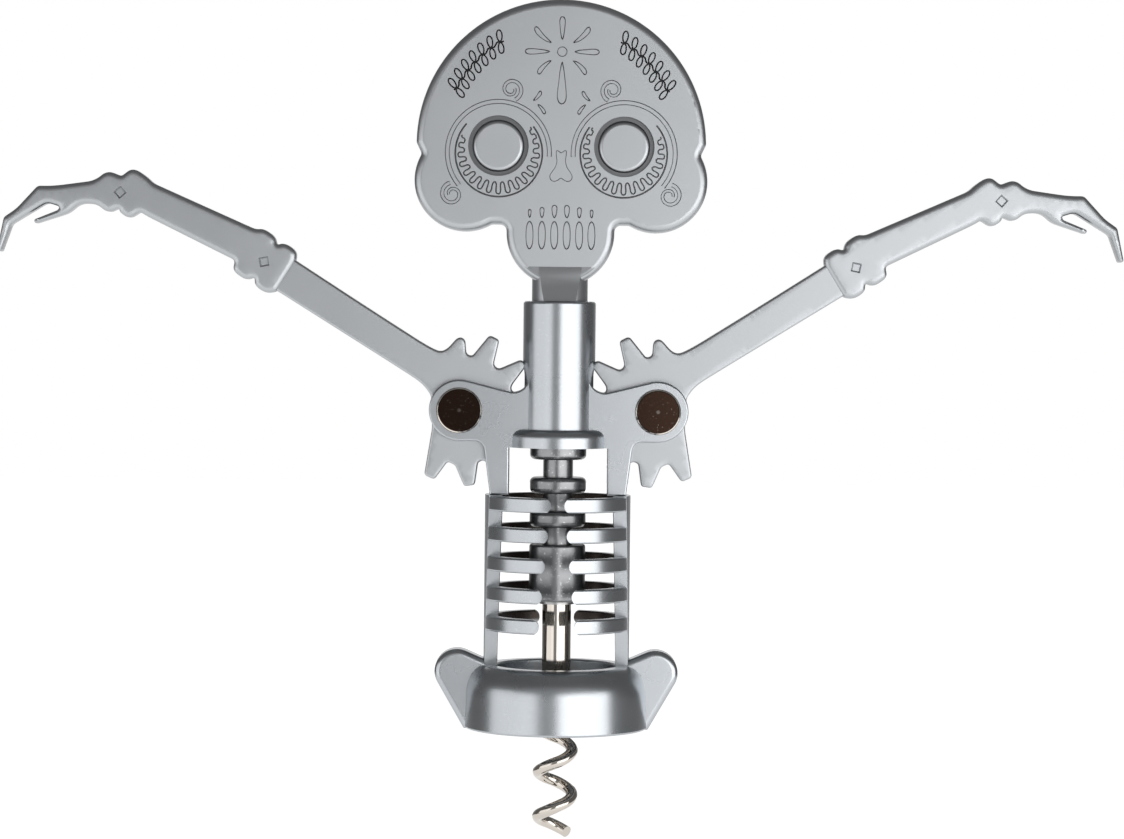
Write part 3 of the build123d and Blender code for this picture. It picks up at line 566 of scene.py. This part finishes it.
def metal(name, dark, light, rough, bump, grain_size=2500.0):
    """A plated metal: its tone and roughness drift between two values, and its grain lifts the surface."""
    made = bpy.data.materials.new(name)
    made.use_nodes = True
    tree = made.node_tree
    shader = tree.nodes["Principled BSDF"]
    shader.inputs["Metallic"].default_value = 1.0
    surface = tree.nodes.new("ShaderNodeGroup")
    surface.name = "grain"
    surface.node_tree = grain
    surface.inputs["Grain Size"].default_value = grain_size
    mix = tree.nodes.new("ShaderNodeMix")
    mix.data_type = "RGBA"
    mix.inputs["A"].default_value = (*dark, 1.0)
    mix.inputs["B"].default_value = (*light, 1.0)
    tree.links.new(surface.outputs["Tone"], mix.inputs["Factor"])
    tree.links.new(mix.outputs["Result"], shader.inputs["Base Color"])
    spread = tree.nodes.new("ShaderNodeMapRange")
    spread.inputs["To Min"].default_value = rough[0]
    spread.inputs["To Max"].default_value = rough[1]
    tree.links.new(surface.outputs["Tone"], spread.inputs["Value"])
    tree.links.new(spread.outputs["Result"], shader.inputs["Roughness"])
    lift = tree.nodes.new("ShaderNodeBump")
    lift.inputs["Strength"].default_value = bump
    lift.inputs["Distance"].default_value = GRAIN_HEIGHT
    tree.links.new(surface.outputs["Height"], lift.inputs["Height"])
    tree.links.new(lift.outputs["Normal"], shader.inputs["Normal"])
    return made


def lay_over(made, mask, colour):
    """Lays another colour over a metal where a mask's socket says so."""
    tree = made.node_tree
    base = tree.nodes["Principled BSDF"].inputs["Base Color"]
    mix = tree.nodes.new("ShaderNodeMix")
    mix.data_type = "RGBA"
    mix.inputs["B"].default_value = (*colour, 1.0)
    tree.links.new(base.links[0].from_socket, mix.inputs["A"])
    tree.links.new(mask, mix.inputs["Factor"])
    tree.links.new(mix.outputs["Result"], base)


def add_specks(made, colour, strength):
    """Scatters specks of another colour over a metal, with the grain that it already has."""
    specks = made.node_tree.nodes["grain"].outputs["Specks"]
    lay_over(made, combine(made.node_tree, "MULTIPLY", specks, strength), colour)


def paint_light_by_place(made, mask, colour):
    """Lays painted light over a metal where one of the masks by place says so: a dark colour gives painted
    shade, a bright one a painted highlight.
    """
    painted_light_node = made.node_tree.nodes.new("ShaderNodeGroup")
    painted_light_node.node_tree = masks
    lay_over(made, painted_light_node.outputs[mask], colour)


def paint_carving_shade(made, colour):
    """Lays a dark colour over a metal as painted shade, by the amount that carved faces store."""
    shade = made.node_tree.nodes.new("ShaderNodeAttribute")
    shade.attribute_name = "carved"
    lay_over(made, shade.outputs["Fac"], colour)


# Finishes by their dark and light tone, range of roughness, bump and, for castings, grain size
FINISHES = {
    "satin_nickel": ((0.38, 0.40, 0.42), (0.44, 0.46, 0.48), (0.25, 0.30), 0.04, 3000.0),
    "pearl_nickel": ((0.40, 0.415, 0.43), (0.44, 0.455, 0.47), (0.36, 0.41), 0.015, 4000.0),
    "cast_nickel": ((0.18, 0.185, 0.19), (0.30, 0.305, 0.31), (0.24, 0.36), 0.2, 1800.0),
    "dark_nickel": ((0.028, 0.016, 0.011), (0.033, 0.019, 0.014), (0.14, 0.20), 0.02),
    "polished_chrome": ((0.50, 0.465, 0.42), (0.57, 0.53, 0.485), (0.05, 0.09), 0.01),
    "spring_steel": ((0.42, 0.42, 0.42), (0.50, 0.50, 0.50), (0.30, 0.40), 0.05),
}
materials = {name: metal(name, *finish) for name, finish in FINISHES.items()}
# Painted shade: the skull's carved walls and lines, and the neck's flats, darkened towards near black
paint_carving_shade(materials["pearl_nickel"], (0.012, 0.012, 0.013))
add_specks(materials["satin_nickel"], (0.9, 0.9, 0.9), 0.12)
# Painted shade on the inner walls of the rib cage's back half
paint_light_by_place(materials["satin_nickel"], "Inside", (0.06, 0.05, 0.045))
add_specks(materials["cast_nickel"], (0.8, 0.8, 0.8), 0.5)
add_specks(materials["dark_nickel"], (0.5, 0.45, 0.4), 0.2)
# Painted highlight on the rim and the centre dot of the pivot rivets
paint_light_by_place(materials["dark_nickel"], "Painted highlight", (0.75, 0.70, 0.64))
slots = {row["node"]: row["material_slot"] for row in frame["record"]["subparts"]}
for node_name, node in nodes.items():
    node.data.materials.clear()
    node.data.materials.append(materials[slots[node_name]])

skull = carve_skull()
settle_normals(skull.data, FACE * MM)
skull.data.materials.clear()
skull.data.materials.append(materials["pearl_nickel"])
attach(skull, "screw")
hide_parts("skull_handle")


# Levers: each is a gear with its upper arm, and a thicker forearm with its hand, all with pillowed edges.
# Sizes in mm. A corner is along the arm from the pivot, across it, and the length that its softening takes
REST = radians(36.4)  # the upper arm's slope at rest
LEVER_TURN = 0.0042  # small turn of the whole lever, as rise over run
ARM_HALF = 2.0  # half thickness
ARM_EDGE, ARM_FALL = 0.5, 0.4  # width and fall of the pillowed edge
ARM_BORE = 2.55  # radius
FOREARM_HALF = 2.4
FOREARM_EDGE, FOREARM_FALL = 1.15, 0.85
MARKS = (((50.05, 0.0), 87.0), ((82.0, -6.5), 57.0))  # sunk squares by place and turn in degrees
MARK_HALF, MARK_FLOOR = 0.98, 0.66
MARK_DEPTH = 0.42
MARK_REACH, MARK_SLOPE = 0.99, 0.3  # where a mark's wall begins, and how far it leans in
MARK_ROOM = 1.6  # kept free of other mesh points
BORE_ROOM = 0.3
OUTLINE_STEP = 0.3
MOST_SOFTENING_SHARE = 0.48  # of an edge
RING_SHARE, RING_SLACK = 0.985, 0.003  # a ring's point stays if it keeps this much of its inset from all edges
LEVER_SHARP = radians(40)  # edges steeper than this stay sharp
NET_STEP = 1.3

ARM_TOP = [(46, 4.0, 1), (30, 5.1, 8), (12.6, 6.45, 4), (9.6, 7.3, 2.2), (9.2, 11.8, 1.1), (7.8, 12.2, 0.9),
           (5.8, 9.9, 0.7), (4.55, 10.3, 0.6), (4.3, 15.9, 0.7), (2.1, 16.3, 0.7), (0, 11.5, 0.7),
           (-1.3, 11.4, 0.7), (-3.9, 15.9, 0.8), (-5.5, 15.5, 0.9), (-5.5, 10.2, 1)]
ARM_UNDER = [(2.3, -6.3, 0.5), (6.4, -1.2, 0.7), (9.3, -0.25, 2.5), (16, -0.75, 3), (46, -3.3, 1)]
HIDDEN_TEETH = np.radians([135.6, 165.6, 195.6, 225.6])
GEAR_TOOTH = np.array([(11.1, -2.35), (15.6, -1.1), (15.6, 1.1), (11.1, 2.35)])
TOOTH_SOFTENING = 0.5
LAST_TOOTH = [(-4.4, -9.9, 0.6), (-4.45, -14.5, 0.7), (-2.2, -15.0, 0.7)]

FOREARM_UNDER = [(44.4, -3.4, 0.6), (45.9, -4.95, 1.4), (48.6, -5.1, 1.3), (49.7, -3.75, 0.5),
                 (50.8, -5.3, 1.3), (54.1, -5.4, 1.4), (55.0, -3.4, 0.7), (74.8, -7.1, 2), (76.4, -7.2, 0.6),
                 (77.3, -9.7, 1.5), (79.6, -9.8, 0.7), (80.3, -9.2, 0.6), (81.5, -11.4, 1.4),
                 (84.4, -11.3, 1.2), (87.3, -13.2, 2.0), (87.9, -16.2, 1.2)]
THUMB = [(92.1, -22.1, 0.45), (92.8, -21.6, 0.4), (90.0, -17.0, 0.4), (90.2, -16.3, 0.4)]
FINGER = [(92.7, -17.2, 0.9), (95.9, -25.1, 0.5), (94.2, -30.9, 0.4), (95.1, -31.2, 0.4), (98.0, -24.9, 0.5),
          (97.0, -22.0, 1.2), (96.3, -15.6, 0.6)]
FOREARM_TOP = [(93.6, -13.6, 2.5), (87.6, -7.7, 1.6), (86.8, -4.5, 1.7), (83.8, -3.7, 0.5), (83.0, -0.9, 1.9),
               (79.8, -0.7, 1.2), (77.8, -0.95, 0.9), (55.4, 4.2, 1.2), (54.2, 5.3, 1.2), (51.4, 5.4, 1.2),
               (50.1, 4.25, 0.5), (49.0, 5.6, 1.3), (46.1, 5.7, 1.3), (45.0, 4.0, 0.8)]


def rounded_outline(rows):
    """A closed outline with softened corners. Each row is a corner and the length that its softening takes
    from both its edges. The softened corner is the parabola that leaves one edge and joins the other. The
    whole is then sampled at even steps."""
    rows = np.asarray(rows, float)
    corner, cut = rows[:, :2], rows[:, 2:]
    before, after = np.roll(corner, 1, axis=0) - corner, np.roll(corner, -1, axis=0) - corner
    length_before = np.linalg.norm(before, axis=1)[:, None]
    length_after = np.linalg.norm(after, axis=1)[:, None]
    start = corner + before * np.minimum(cut / length_before, MOST_SOFTENING_SHARE)
    stop = corner + after * np.minimum(cut / length_after, MOST_SOFTENING_SHARE)
    t = np.linspace(0, 1, 13)[None, :, None]
    curve = (1 - t) ** 2 * start[:, None] + 2 * t * (1 - t) * corner[:, None] + t**2 * stop[:, None]
    dense = curve.reshape(-1, 2)
    closed = np.concatenate([dense, dense[:1]])
    along = np.concatenate([[0], np.cumsum(np.linalg.norm(np.diff(closed, axis=0), axis=1))])
    at = np.linspace(0, along[-1], int(along[-1] / OUTLINE_STEP), endpoint=False)
    return np.stack([np.interp(at, along, closed[:, 0]), np.interp(at, along, closed[:, 1])], axis=1)


def edge_distance(points, outline):
    """Distance of each point from the nearest edge of a closed outline."""
    way = np.roll(outline, -1, axis=0) - outline
    share = ((points[:, None] - outline) * way).sum(-1) / (way**2).sum(-1)
    near = outline + np.clip(share, 0, 1)[..., None] * way
    return np.linalg.norm(points[:, None] - near, axis=-1).min(axis=1)


def square(centre, half, turn):
    """Corners and edge middles of a turned square."""
    a = radians(turn) + np.arange(8) * pi / 4
    reach = half * np.where(np.arange(8) % 2, 1.0, sqrt(2))
    return np.asarray(centre) + np.stack([np.cos(a), np.sin(a)], axis=1) * reach[:, None]


def pillow_plate(outline, half, edge, fall, marks=(), hole=0.0):
    """A plate with pillowed edges, as points and triangles in its own plane. Its depth is a function of the
    place: half the thickness, less a quarter ellipse that falls over the last stretch before the outline.
    Square marks are sunk into both faces, and a round hole may go through."""
    rise = np.radians([18, 36, 54, 72, 90])
    inset = edge * (1 - np.cos(rise))
    inward = -right_normals(outline)
    rings = (outline[:, None] + inward[:, None] * inset[None, :, None]).reshape(-1, 2)
    wanted = np.tile(inset, len(outline))
    low, high = outline.min(axis=0), outline.max(axis=0)
    columns, rows = (np.arange(a, b, NET_STEP) for a, b in zip(low, high))
    net = np.stack(np.meshgrid(columns, rows), axis=-1).reshape(-1, 2)
    inside = np.concatenate([rings[edge_distance(rings, outline) > wanted * RING_SHARE - RING_SLACK], net])
    loops = [outline]
    for centre, turn in marks:
        loops += [square(centre, MARK_HALF, turn), square(centre, MARK_FLOOR, turn)]
        inside = inside[np.abs(inside - centre).max(axis=1) > MARK_ROOM]
    if hole:
        turn = np.arange(40) * pi / 20
        loops.append(hole * np.stack([np.cos(turn), np.sin(turn)], axis=1))
        inside = inside[np.linalg.norm(inside, axis=1) > hole + BORE_ROOM]
    start = np.cumsum([0] + [len(loop) for loop in loops])
    edges = [(s + i, s + (i + 1) % len(loop)) for s, loop in zip(start, loops) for i in range(len(loop))]
    given = [Vector(p) for p in np.concatenate(loops + [inside])]
    flat, _, faces, *_ = delaunay_2d_cdt(given, edges, [list(range(len(outline)))], 1, 1e-5)
    flat, faces = np.array([tuple(p) for p in flat]), np.array(faces)
    faces = faces[np.linalg.norm(flat[faces].mean(axis=1), axis=1) > hole]
    near = np.clip(edge_distance(flat, outline) / edge, 0, 1)
    depth = half - fall * (1 - np.sqrt(1 - (1 - near) ** 2))
    for centre, turn in marks:
        c, s = cos(radians(turn + 45)), sin(radians(turn + 45))
        off = np.abs((flat - centre) @ np.array([[c, -s], [s, c]])).max(axis=1)
        depth -= MARK_DEPTH * np.clip((MARK_REACH - off) / MARK_SLOPE, 0, 1)
    return flat, faces, depth


def lever_plates():
    """The upper arm with its gear, and the forearm with its hand, as pillowed plates."""
    teeth = []
    for angle in HIDDEN_TEETH:
        c, s = cos(angle), sin(angle)
        teeth += [(a * c - b * s, a * s + b * c, TOOTH_SOFTENING) for a, b in GEAR_TOOTH]
    arm = rounded_outline(ARM_TOP + teeth + LAST_TOOTH + ARM_UNDER)
    forearm = rounded_outline(FOREARM_UNDER + THUMB + FINGER + FOREARM_TOP)
    return (pillow_plate(arm, ARM_HALF, ARM_EDGE, ARM_FALL, hole=ARM_BORE),
            pillow_plate(forearm, FOREARM_HALF, FOREARM_EDGE, FOREARM_FALL, marks=MARKS))


def lever(name, plates, side):
    """One lever as a mesh object: both plates with their back and front faces and the walls between them."""
    points, faces, count = [], [], 0
    for flat, triangles, depth in plates:
        n = len(flat)
        a, b = flat[:, 0], flat[:, 1] + LEVER_TURN * flat[:, 0]
        x = side * (PIVOT[0] + a * cos(REST) - b * sin(REST))
        z = PIVOT[1] + a * sin(REST) + b * cos(REST)
        points += [np.stack([x, -depth, z], axis=1), np.stack([x, depth, z], axis=1)]
        pairs = np.concatenate([triangles[:, [0, 1]], triangles[:, [1, 2]], triangles[:, [2, 0]]])
        key = pairs[:, 0] * n + pairs[:, 1]
        rim = pairs[~np.isin(key, pairs[:, 1] * n + pairs[:, 0])]
        wall = np.stack([rim[:, 1], rim[:, 0], rim[:, 0] + n, rim[:, 1] + n], axis=1)
        for part in (triangles, triangles[:, ::-1] + n, wall):
            faces += (part + count).tolist()
        count += 2 * n
    mesh = bpy.data.meshes.new("lever")
    mesh.from_pydata((np.concatenate(points) * MM).tolist(), [], faces)
    mesh.validate()
    face_outwards(mesh)
    mesh.shade_smooth()
    mesh.set_sharp_from_angle(angle=LEVER_SHARP)
    return add_object(name, mesh)


plates = lever_plates()
for side, body in ((-1, "left"), (1, "right")):
    piece = lever(f"{body}_arm_shape", plates, side)
    piece.data.materials.append(materials["pearl_nickel"])
    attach(piece, f"{body}_arm")
    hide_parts(f"{body}_lever")


# Stage: pale floor, dim cards that only reflections see, white world and two soft boxes. Sizes in metres
WHITE = (1.0, 1.0, 1.0, 1.0)
FLOOR_COLOUR = (0.8, 0.8, 0.8, 1.0)
FLOOR_ROUGHNESS = 0.9
FLOOR_GLOW = 0.8  # with the lamps' light, the floor looks white
FLOOR_DROP = 0.3  # the part hangs this far above the floor, so that the arms can swing down
FLOOR_REACH, FLOOR_FAR = 4.0, 8.0
CARD_COLOUR = (0.02, 0.02, 0.02, 1.0)
CARD_REACH, CARD_NEAR, CARD_FAR, CARD_TOP = 1.4, -1.5, 1.8, 1.0
CARD_GAP = 0.45  # half the opening behind the part, which shows the white backdrop
SIDE_CARD_GLOW, FRONT_CARD_GLOW = 0.14, 0.34
WORLD_LIGHT = 0.3  # strength of the world for the rays that light the part
BOX_MIDDLE = 0.03  # height of the soft boxes and of what they face
BOX_DISTANCE = 0.9
BOX_HEIGHT = 0.48
# Soft boxes by bearing from the front in degrees, width and radiance
SOFT_BOXES = {"left_box": (-56, 1.21, 1.32), "right_box": (36.5, 1.19, 2.55)}


def stage_face(name, corners, colour, roughness=0.5):
    """A stage piece of one face, with a white glow whose strength is still to be set."""
    mesh = bpy.data.meshes.new(name)
    mesh.from_pydata(corners, [], [(0, 1, 2, 3)])
    made = add_object(name, mesh)
    look = bpy.data.materials.new(name)
    look.use_nodes = True
    shader = look.node_tree.nodes["Principled BSDF"]
    shader.inputs["Base Color"].default_value = colour
    shader.inputs["Roughness"].default_value = roughness
    shader.inputs["Emission Color"].default_value = WHITE
    mesh.materials.append(look)
    return made, look.node_tree, shader.inputs["Emission Strength"]


def seen_white(tree):
    """A value that is 1 for camera, glossy and transmission rays, and 0 for all others."""
    rays = tree.nodes.new("ShaderNodeLightPath")
    either = combine(tree, "MAXIMUM", rays.outputs["Is Camera Ray"], rays.outputs["Is Glossy Ray"])
    return combine(tree, "MAXIMUM", either, rays.outputs["Is Transmission Ray"])


def card(name, corners, strength):
    """A dim studio card that only the metal's reflections see."""
    made, _, glow = stage_face(name, corners, CARD_COLOUR)
    glow.default_value = strength
    made.visible_camera = False
    made.visible_diffuse = False
    made.visible_transmission = False
    made.visible_shadow = False


def upright(start, stop, foot):
    """Corners of an upright face between two places on the ground, up to the cards' top."""
    return [(*start, foot), (*stop, foot), (*stop, CARD_TOP), (*start, CARD_TOP)]


def soft_box(name, bearing, width, radiance):
    """A rectangular lamp of an even brightness, at a bearing that grows to the right, facing the part."""
    lamp = bpy.data.lights.new(name, "AREA")
    lamp.shape = "RECTANGLE"
    lamp.size = width
    lamp.size_y = BOX_HEIGHT
    lamp.energy = radiance * width * BOX_HEIGHT * pi
    made = add_object(name, lamp)
    turn = radians(bearing)
    made.location = (BOX_DISTANCE * sin(turn), -BOX_DISTANCE * cos(turn), BOX_MIDDLE)
    made.rotation_euler = (Vector((0, 0, BOX_MIDDLE)) - made.location).to_track_quat("-Z", "Y").to_euler()


floor_level = cad_low.z - FLOOR_DROP
floor_corners = [(-FLOOR_REACH, -FLOOR_REACH), (FLOOR_REACH, -FLOOR_REACH), (FLOOR_REACH, FLOOR_FAR),
                 (-FLOOR_REACH, FLOOR_FAR)]
floor_corners = [(*corner, floor_level) for corner in floor_corners]
_, floor_tree, floor_glow = stage_face("floor", floor_corners, FLOOR_COLOUR, FLOOR_ROUGHNESS)
floor_tree.links.new(combine(floor_tree, "MULTIPLY", seen_white(floor_tree), FLOOR_GLOW), floor_glow)

near_left, near_right = (-CARD_REACH, CARD_NEAR), (CARD_REACH, CARD_NEAR)
far_left, far_right = (-CARD_REACH, CARD_FAR), (CARD_REACH, CARD_FAR)
card("left_card", upright(near_left, far_left, floor_level), SIDE_CARD_GLOW)
card("right_card", upright(near_right, far_right, floor_level), SIDE_CARD_GLOW)
card("top_card", [(*c, CARD_TOP) for c in (near_left, near_right, far_right, far_left)], SIDE_CARD_GLOW)
card("near_card", upright(near_left, near_right, floor_level), FRONT_CARD_GLOW)
card("far_left_card", upright(far_left, (-CARD_GAP, CARD_FAR), floor_level), FRONT_CARD_GLOW)
card("far_right_card", upright((CARD_GAP, CARD_FAR), far_right, floor_level), FRONT_CARD_GLOW)

world = bpy.data.worlds.new("studio")
bpy.context.scene.world = world
world.use_nodes = True
tree = world.node_tree
back = tree.nodes["Background"]
back.inputs["Color"].default_value = WHITE
level = tree.nodes.new("ShaderNodeMapRange")
level.inputs["To Min"].default_value = WORLD_LIGHT
level.inputs["To Max"].default_value = 1.0
tree.links.new(seen_white(tree), level.inputs["Value"])
tree.links.new(level.outputs["Result"], back.inputs["Strength"])

for name, (bearing, width, radiance) in SOFT_BOXES.items():
    soft_box(name, bearing, width, radiance)

# Camera: the photo's own view
CAMERA_PLACE = Vector((0.0007, -0.738, 0.0847))
CAMERA_AIM = Vector((0.0007, 0.0, 0.0633))
CAMERA_ROLL = radians(0.58)
camera = bpy.data.cameras.new("camera")
camera.lens = 115.4
camera.sensor_width = 36.0
camera.clip_start = 0.01
camera.clip_end = 50.0
eye = add_object("camera", camera)
look = (CAMERA_AIM - CAMERA_PLACE).to_track_quat("-Z", "Y").to_matrix().to_4x4()
eye.matrix_world = Matrix.Translation(CAMERA_PLACE) @ look @ Matrix.Rotation(CAMERA_ROLL, 4, "Z")
bpy.context.scene.camera = eye
bpy.context.scene.view_settings.view_transform = "Standard"
